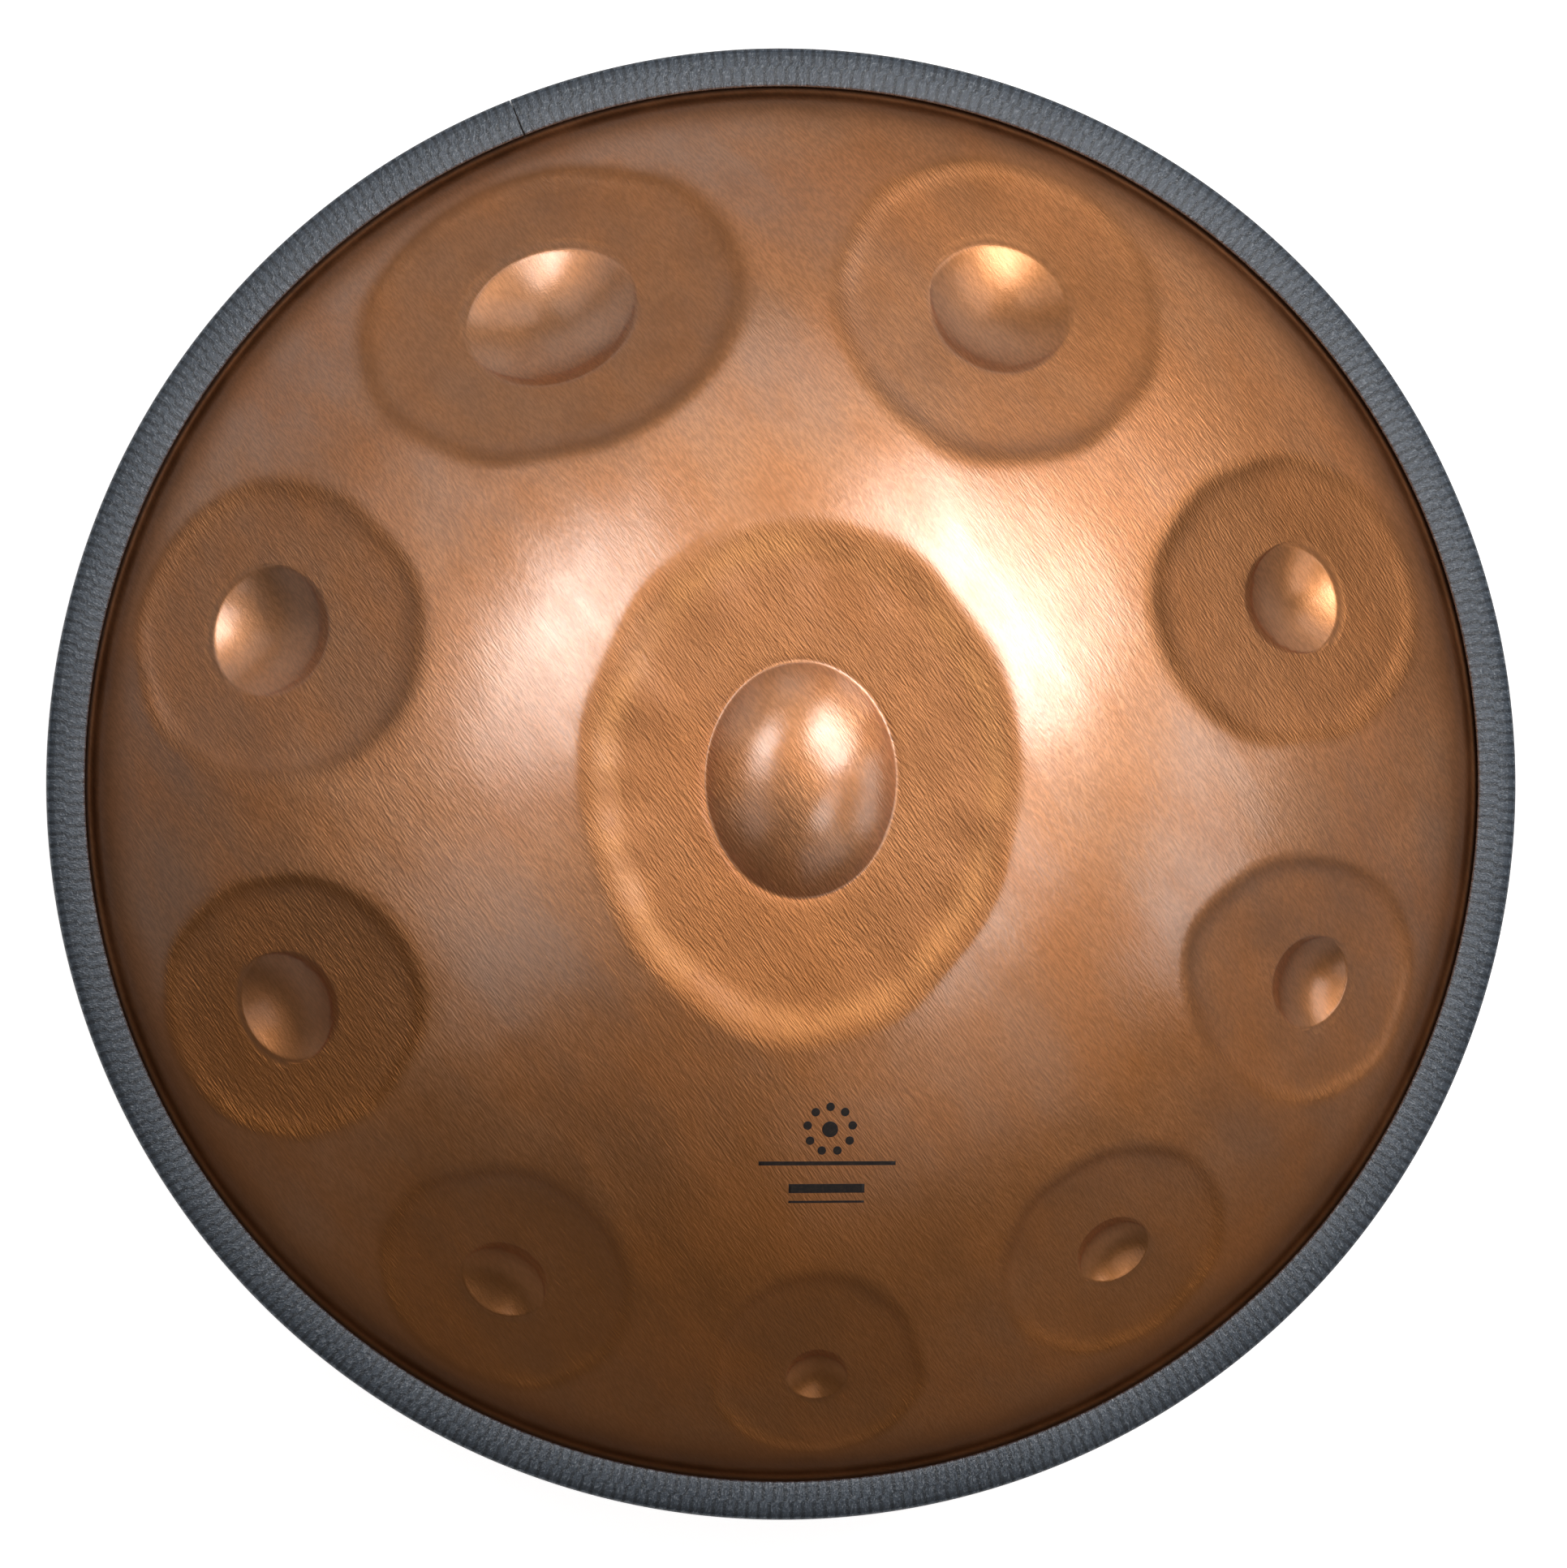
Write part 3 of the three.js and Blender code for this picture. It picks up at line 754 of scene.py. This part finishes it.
def trim_core(material):
    """The folded steel strip inside the vinyl."""
    outline = u_outline(CORE_THICKNESS / 2)
    angles = strip_angles([0])
    points = swept_points(outline, angles).reshape(-1, 3)
    faces = sweep_faces(len(angles), len(outline), 0)
    faces += end_faces([outline], [0], last=False)
    faces += end_faces([outline], [len(points) - len(outline)], last=True)
    return make_piece("edge_trim_strip", points, faces, material)


# ---------------------------------------------------------------- materials


def add_node(tree, kind, settings=None, **inputs):
    """A shader node. Inputs are values or the sockets they are linked from, by name or number."""
    node = tree.nodes.new(kind)
    for key, value in (settings or {}).items():
        setattr(node, key, value)
    for key, value in inputs.items():
        numbered = key[0] == "i" and key[1:].isdigit()
        socket = node.inputs[int(key[1:]) if numbered else key.replace("_", " ")]
        if isinstance(value, bpy.types.NodeSocket):
            tree.links.new(value, socket)
        else:
            socket.default_value = value
    return node


def new_material(name):
    """A material of one principled shader: itself, its tree, its shader and the object's place."""
    material = bpy.data.materials.new(name)
    material.use_nodes = True
    tree = material.node_tree
    tree.nodes.clear()
    output = tree.nodes.new("ShaderNodeOutputMaterial")
    shader = tree.nodes.new("ShaderNodeBsdfPrincipled")
    tree.links.new(shader.outputs[0], output.inputs[0])
    place = tree.nodes.new("ShaderNodeTexCoord").outputs["Object"]
    return material, tree, shader, place


def attribute(tree, name):
    """A value kept at the upper shell's points. It is zero on the other pieces."""
    return add_node(tree, "ShaderNodeAttribute", {"attribute_name": name}).outputs["Fac"]


def math_node(tree, operation, *values):
    inputs = {f"i{index}": value for index, value in enumerate(values)}
    return add_node(tree, "ShaderNodeMath", {"operation": operation}, **inputs).outputs[0]


def product(tree, *factors):
    result = factors[0]
    for factor in factors[1:]:
        result = math_node(tree, "MULTIPLY", result, factor)
    return result


def remap(tree, value, low, high, to_low, to_high):
    """Carries a value from one range to another, easing in and out at the ends."""
    inputs = dict(i0=value, i1=low, i2=high, i3=to_low, i4=to_high)
    settings = {"interpolation_type": "SMOOTHSTEP"}
    return add_node(tree, "ShaderNodeMapRange", settings, **inputs).outputs[0]


def mix_colour(tree, factor, first, second, blend="MIX"):
    settings = {"data_type": "RGBA", "blend_type": blend}
    return add_node(tree, "ShaderNodeMix", settings, i0=factor, i6=first, i7=second).outputs[2]


def noise(tree, place, scale, detail=2.0, roughness=0.5):
    inputs = dict(Vector=place, Scale=scale, Detail=detail, Roughness=roughness)
    return add_node(tree, "ShaderNodeTexNoise", **inputs).outputs[0]


def bump(tree, height, strength, distance):
    """A normal tilted by a height map, in which a height of one is the distance in metres."""
    inputs = dict(Strength=strength, Distance=distance, Height=height)
    return add_node(tree, "ShaderNodeBump", **inputs).outputs[0]


def scaled(tree, vector, factors):
    settings = {"operation": "MULTIPLY"}
    return add_node(tree, "ShaderNodeVectorMath", settings, i0=vector, i1=factors).outputs[0]


def plan_radius(tree, place):
    x, y, _ = add_node(tree, "ShaderNodeSeparateXYZ", Vector=place).outputs
    squares = [math_node(tree, "POWER", side, 2.0) for side in (x, y)]
    return math_node(tree, "SQRT", math_node(tree, "ADD", *squares))


def steel_zones(tree, place, clouds):
    """Masks of where the sheet differs from its plain bronzed crown, and of where shade or sheen is
    painted on. Lengths are in metres.
    """
    radius = plan_radius(tree, place)
    easting, northing, _ = add_node(tree, "ShaderNodeSeparateXYZ", Vector=place).outputs
    clouded = math_node(tree, "ADD", northing, product(tree, clouds, 0.12))
    to_corner = math_node(tree, "ADD", easting, northing)
    return {
        # the shoulder mask also carries painted shade: darker copper towards the rim
        "shoulder": remap(tree, radius, 0.232, 0.248, 0.0, 1.0),
        # painted shadow: near black in the gap between the shell and the trim's inner lip
        "gap_shade": remap(tree, radius, 0.2512, 0.2532, 0.0, 0.9),
        # painted shade: browner and darker copper towards -Y, where the lights fall off
        "front_shade": remap(tree, clouded, 0.08, -0.16, 0.0, 1.0),
        "worn": remap(tree, to_corner, 0.18, 0.28, 0.0, 0.75),
        "heat": attribute(tree, "tint"),
        "pit": attribute(tree, "pit"),
        # painted sheen round the inside of the ding's edge
        "edge_sheen": attribute(tree, "edge_sheen"),
    }


def steel_colour(tree, zones, clouds, patches, streaks):
    """Copper in two tones, browner in patches and streaks, tinted by heat in its zones, with painted
    shade and sheen.
    """
    tinted = product(tree, zones["heat"], remap(tree, patches, 0.3, 0.7, 0.75, 1.0))
    ding_sheen = product(tree, zones["edge_sheen"], remap(tree, patches, 0.38, 0.6, 0.1, 0.75))
    layers = [
        (remap(tree, patches, 0.45, 0.75, 0.0, 0.5), (0.74, 0.285, 0.085, 1)),
        (remap(tree, streaks, 0.62, 0.38, 0.0, 0.4), (0.5, 0.18, 0.05, 1)),
        (tinted, (0.45, 0.185, 0.07, 1)),
        # painted sheen: lighter golden copper round the inside of the ding's edge
        (ding_sheen, (0.85, 0.38, 0.14, 1)),
        # painted shade: browner and darker towards -Y
        (product(tree, zones["front_shade"], 0.6), (0.66, 0.235, 0.05, 1)),
        # painted shade: darker, browner copper towards the rim, for the steep shoulder's dark
        # reflection
        (product(tree, zones["shoulder"], 0.5), (0.3, 0.14, 0.08, 1)),
        # painted shadow in the gap under the trim's inner lip
        (zones["gap_shade"], (0.03, 0.015, 0.01, 1)),
    ]
    warm = (0.95, 0.385, 0.14, 1)
    pale = (1.0, 0.44, 0.18, 1)
    colour = mix_colour(tree, remap(tree, clouds, 0.35, 0.65, 0.0, 1.0), warm, pale)
    for factor, shade in layers:
        colour = mix_colour(tree, factor, colour, shade)
    return colour


def steel_skin(tree, zones, smears):
    """How much of the glossy skin is left: little where the sheet was heated or worn, and in the
    painted shade towards -Y.
    """
    skin = product(
        tree,
        remap(tree, zones["shoulder"], 0.0, 1.0, 1.0, 0.25),
        remap(tree, smears, 0.3, 0.7, 1.0, 0.6),
        remap(tree, zones["front_shade"], 0.0, 1.0, 1.0, 0.2),
    )
    for zone in ("worn", "heat"):
        skin = product(tree, skin, math_node(tree, "SUBTRACT", 1.0, zones[zone]))
    return skin


def steel_relief(tree, zones, place, along_brush, streaks):
    """Brush marks, deeper in the heated fields, and a fine grain on the shoulder and pits."""
    long_streaks = noise(tree, scaled(tree, along_brush, (60, 560, 60)), 1.0, 2.0, 0.5)
    grain = noise(tree, place, 1400.0, 2.0, 0.6)
    brushed = math_node(tree, "ADD", streaks, product(tree, long_streaks, 0.5))
    brushed = product(tree, brushed, remap(tree, zones["heat"], 0.0, 1.0, 1.1, 2.2))
    smooth = math_node(tree, "MAXIMUM", zones["shoulder"], product(tree, zones["pit"], 0.8))
    inputs = dict(i0=smooth, i2=brushed, i3=product(tree, grain, 0.25))
    return add_node(tree, "ShaderNodeMix", {"data_type": "FLOAT"}, **inputs).outputs[0]


def bronzed_steel():
    """Heat-bronzed sheet: a rough copper-brown under a glossier skin, brushed slantwise by hand."""
    material, tree, shader, place = new_material("bronzed_steel")
    settings = {"rotation_type": "Z_AXIS"}
    rotate = add_node(tree, "ShaderNodeVectorRotate", settings, Vector=place, Angle=BRUSH_SLANT)
    along_brush = rotate.outputs[0]
    streaks = noise(tree, scaled(tree, along_brush, (290, 1550, 290)), 1.0, 3.0, 0.55)
    clouds = noise(tree, place, 13.0, 3.0, 0.55)
    patches = noise(tree, place, 38.0, 4.0, 0.6)
    smears = noise(tree, scaled(tree, along_brush, (16, 45, 30)), 1.0, 4.0, 0.6)
    zones = steel_zones(tree, place, clouds)

    colour = steel_colour(tree, zones, clouds, patches, streaks)
    tree.links.new(colour, shader.inputs["Base Color"])
    shader.inputs["Metallic"].default_value = 1
    rough = remap(tree, smears, 0.3, 0.7, 0.4, 0.5)
    rough = math_node(tree, "SUBTRACT", rough, product(tree, zones["pit"], 0.08))
    tree.links.new(rough, shader.inputs["Roughness"])

    tree.links.new(steel_skin(tree, zones, smears), shader.inputs["Coat Weight"])
    shader.inputs["Coat Roughness"].default_value = 0.2
    shader.inputs["Coat IOR"].default_value = 2.6

    height = steel_relief(tree, zones, place, along_brush, streaks)
    for strength, socket in ((0.8, "Normal"), (0.2, "Coat Normal")):
        tree.links.new(bump(tree, height, strength, 0.0003), shader.inputs[socket])
    return material


def printed_ink():
    """Matt dark ink that has taken a little of the grain below it."""
    material, tree, shader, place = new_material("printed_ink")
    speckle = noise(tree, place, 1200.0, 3.0, 0.7)
    thinned = remap(tree, speckle, 0.4, 0.8, 0.0, 1.0)
    colour = mix_colour(tree, thinned, (0.012, 0.009, 0.008, 1), (0.05, 0.03, 0.02, 1))
    tree.links.new(colour, shader.inputs["Base Color"])
    tree.links.new(remap(tree, speckle, 0.3, 0.7, 0.5, 0.65), shader.inputs["Roughness"])
    tree.links.new(bump(tree, speckle, 0.3, 0.00005), shader.inputs["Normal"])
    return material


def rib_valleys(tree, bearing, radius):
    """A cosine that peaks between the ribs of the core. The outer row of ribs is staggered."""
    turn = product(tree, math_node(tree, "SUBTRACT", bearing, SEAM_BEARING), RIB_COUNT)
    outer_row = remap(tree, radius, 0.2602, 0.2612, 0.0, RIB_STAGGER * TAU)
    return math_node(tree, "COSINE", math_node(tree, "ADD", turn, outer_row))


def vinyl_relief(tree, place, wrinkles, radius):
    """Wrinkles and pores, stretched flat round the outer corner, on a gently crowned padding."""
    pores = noise(tree, place, 2600.0, 2.0, 0.6)
    stretched = remap(tree, radius, 0.2662, 0.2642, 0.15, 1.0)
    grain = math_node(tree, "ADD", wrinkles, product(tree, pores, 0.2))
    breadth = math_node(tree, "SUBTRACT", radius, TRIM_INNER * MM)
    crowned = product(tree, math_node(tree, "POWER", breadth, 2.0), -TRIM_CROWNING)
    return math_node(tree, "ADD", product(tree, grain, stretched), crowned)


def trim_vinyl():
    """Blue-grey vinyl with a leather grain whose wrinkles run across the strip."""
    material, tree, shader, place = new_material("trim_vinyl")
    x, y, z = add_node(tree, "ShaderNodeSeparateXYZ", Vector=place).outputs
    bearing = math_node(tree, "ARCTAN2", y, x)
    radius = plan_radius(tree, place)
    across = math_node(tree, "SUBTRACT", radius, z)
    along = product(tree, bearing, WRINKLE_RADIUS)
    slanted = math_node(tree, "ADD", along, product(tree, across, 0.25))
    strip = add_node(tree, "ShaderNodeCombineXYZ", X=slanted, Y=across).outputs[0]
    wrinkles = noise(tree, scaled(tree, strip, (1500, 620, 0)), 1.0, 3.0, 0.6)
    worn = remap(tree, noise(tree, place, 30.0, 3.0, 0.6), 0.35, 0.7, 0.0, 1.0)
    valleys = remap(tree, rib_valleys(tree, bearing, radius), 0.1, 0.9, 0.0, 0.75)

    layers = [
        # painted highlight on the wrinkles' crests
        (remap(tree, wrinkles, 0.52, 0.68, 0.0, 0.6), (0.4, 0.43, 0.47, 1)),
        # painted shade in the wrinkles' valleys
        (remap(tree, wrinkles, 0.5, 0.34, 0.0, 0.75), (0.03, 0.036, 0.045, 1)),
        # painted shade in the valleys between the core's ribs
        (valleys, (0.025, 0.032, 0.043, 1)),
    ]
    colour = mix_colour(tree, worn, (0.08, 0.104, 0.138, 1), (0.11, 0.138, 0.176, 1))
    for factor, shade in layers:
        colour = mix_colour(tree, factor, colour, shade)
    tree.links.new(colour, shader.inputs["Base Color"])
    tree.links.new(remap(tree, wrinkles, 0.3, 0.7, 0.34, 0.14), shader.inputs["Roughness"])

    height = vinyl_relief(tree, place, wrinkles, radius)
    tilted = bump(tree, height, 1.0, 0.0009)
    for socket in ("Normal", "Coat Normal"):
        tree.links.new(tilted, shader.inputs[socket])
    shader.inputs["Specular IOR Level"].default_value = 0.9
    shader.inputs["Coat Weight"].default_value = 0.8
    shader.inputs["Coat Roughness"].default_value = 0.16
    shader.inputs["Coat IOR"].default_value = 2.0
    return material


def core_steel():
    """Bare strip steel with fine rolling lines and a little staining."""
    material, tree, shader, place = new_material("core_steel")
    lines = noise(tree, scaled(tree, place, (300, 300, 4000)), 1.0, 2.0, 0.5)
    stains = noise(tree, place, 60.0, 3.0, 0.6)
    stained = remap(tree, stains, 0.45, 0.7, 0.0, 0.6)
    colour = mix_colour(tree, stained, (0.5, 0.51, 0.53, 1), (0.3, 0.27, 0.24, 1))
    tree.links.new(colour, shader.inputs["Base Color"])
    shader.inputs["Metallic"].default_value = 1
    tree.links.new(remap(tree, lines, 0.3, 0.7, 0.3, 0.45), shader.inputs["Roughness"])
    tree.links.new(bump(tree, lines, 0.2, 0.00005), shader.inputs["Normal"])
    return material


def cured_adhesive():
    """Dark cured adhesive with a slightly pebbled skin."""
    material, tree, shader, place = new_material("cured_adhesive")
    skin = noise(tree, place, 500.0, 3.0, 0.6)
    colour = mix_colour(tree, skin, (0.015, 0.015, 0.017, 1), (0.035, 0.034, 0.033, 1))
    tree.links.new(colour, shader.inputs["Base Color"])
    tree.links.new(remap(tree, skin, 0.3, 0.7, 0.45, 0.65), shader.inputs["Roughness"])
    tree.links.new(bump(tree, skin, 0.4, 0.0002), shader.inputs["Normal"])
    return material


# ---------------------------------------------------------------- build

bronze = bronzed_steel()
vinyl = trim_vinyl()
strip_steel = core_steel()
adhesive = cured_adhesive()
ink = printed_ink()

stand_for(upper_shell(bronze), "top_shell")
stand_for(lower_shell(bronze), "bottom_shell")
for patch in printed_mark(ink):
    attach(patch, "root")
stand_for(glue_ring(adhesive), "seam_adhesive")
stand_for(trim_cover(vinyl), "edge_trim_cover")
stand_for(trim_core(strip_steel), "edge_trim_core")


# ---------------------------------------------------------------- stage, light and camera


def add_floor():
    """A plain white floor that glows a little, so that it stays white away from the lights."""
    mesh = bpy.data.meshes.new("floor")
    half = 4
    corners = [(-half, -half, 0), (half, -half, 0), (half, half, 0), (-half, half, 0)]
    mesh.from_pydata(corners, [], [(0, 1, 2, 3)])
    material, _, shader, _ = new_material("floor")
    shader.inputs["Base Color"].default_value = (0.8, 0.8, 0.8, 1)
    shader.inputs["Roughness"].default_value = 0.7
    shader.inputs["Emission Color"].default_value = (1, 1, 1, 1)
    shader.inputs["Emission Strength"].default_value = 0.82
    mesh.materials.append(material)
    floor = bpy.data.objects.new("floor", mesh)
    bpy.context.scene.collection.objects.link(floor)
    floor.visible_glossy = False


def aim(thing, place, target, up):
    """Puts a light or camera at a place, looking at the target, with the given way up."""
    back = (Vector(place) - Vector(target)).normalized()
    right = Vector(up).cross(back).normalized()
    turn = Matrix((right, back.cross(right), back)).transposed()
    thing.matrix_world = Matrix.Translation(place) @ turn.to_4x4()


def add_softbox(name, tilt, bearing, spread, radiance):
    """A rectangular softbox facing the object, from a row of SOFTBOXES."""
    tilt, bearing = math.radians(tilt), math.radians(bearing)
    half_spread = [math.radians(angle) / 2 for angle in spread]
    sideways, upwards = (2 * SOFTBOX_DISTANCE * math.tan(angle) for angle in half_spread)
    light = bpy.data.lights.new(name, "AREA")
    light.shape = "RECTANGLE"
    light.size = sideways
    light.size_y = upwards
    light.energy = math.pi * radiance * sideways * upwards
    box = bpy.data.objects.new(name, light)
    bpy.context.scene.collection.objects.link(box)
    centre = Vector((0, 0, REST_HEIGHT * MM))
    reach = SOFTBOX_DISTANCE * math.sin(tilt)
    rise = SOFTBOX_DISTANCE * math.cos(tilt)
    offset = Vector((reach * math.cos(bearing), reach * math.sin(bearing), rise))
    aim(box, centre + offset, centre, (0, 0, 1))
    box.visible_camera = False


def add_world():
    """Dim surroundings: walls brightest towards +Y and then +X, a ceiling, and light from below.

    The ceiling is brighter towards +Y, and the light from below is what a white floor sends back.
    """
    world = bpy.data.worlds.new("studio")
    bpy.context.scene.world = world
    world.use_nodes = True
    tree = world.node_tree
    direction = tree.nodes.new("ShaderNodeTexCoord").outputs["Generated"]
    x, y, z = add_node(tree, "ShaderNodeSeparateXYZ", Vector=direction).outputs
    sideways = math_node(tree, "MAXIMUM", product(tree, x, 0.17), product(tree, x, -0.1))
    northward = math_node(tree, "MAXIMUM", product(tree, y, 0.34), product(tree, y, -0.09))
    horizon = remap(tree, math_node(tree, "ABSOLUTE", z), 0.1, 0.5, 1.0, 0.0)
    wall = product(tree, horizon, math_node(tree, "ADD", sideways, northward))
    ceiling = remap(tree, z, 0.3, 0.8, 0.02, 0.2)
    ceiling = product(tree, ceiling, remap(tree, y, -0.5, 0.3, 0.5, 1.0))
    nadir = remap(tree, z, -0.35, -0.95, 0.0, 0.35)
    glow = math_node(tree, "ADD", math_node(tree, "ADD", wall, ceiling), nadir)
    tree.nodes["Background"].inputs["Color"].default_value = (1, 1, 1, 1)
    tree.links.new(glow, tree.nodes["Background"].inputs["Strength"])


def add_camera():
    """The viewpoint: above the rim's centre, leaning a little to the left and the front."""
    data = bpy.data.cameras.new("camera")
    data.sensor_width = 36
    data.lens = CAMERA_LENS
    data.shift_x, data.shift_y = CAMERA_SHIFT
    camera = bpy.data.objects.new("camera", data)
    bpy.context.scene.collection.objects.link(camera)
    centre = Vector((0, 0, REST_HEIGHT * MM))
    lean = [CAMERA_DISTANCE * math.tan(math.radians(angle)) for angle in CAMERA_LEAN]
    aim(camera, centre + Vector((*lean, CAMERA_DISTANCE)), centre, (0, 1, 0))
    bpy.context.scene.camera = camera


add_floor()
for softbox in SOFTBOXES:
    add_softbox(*softbox)
add_world()
add_camera()
bpy.context.scene.view_settings.view_transform = "Standard"
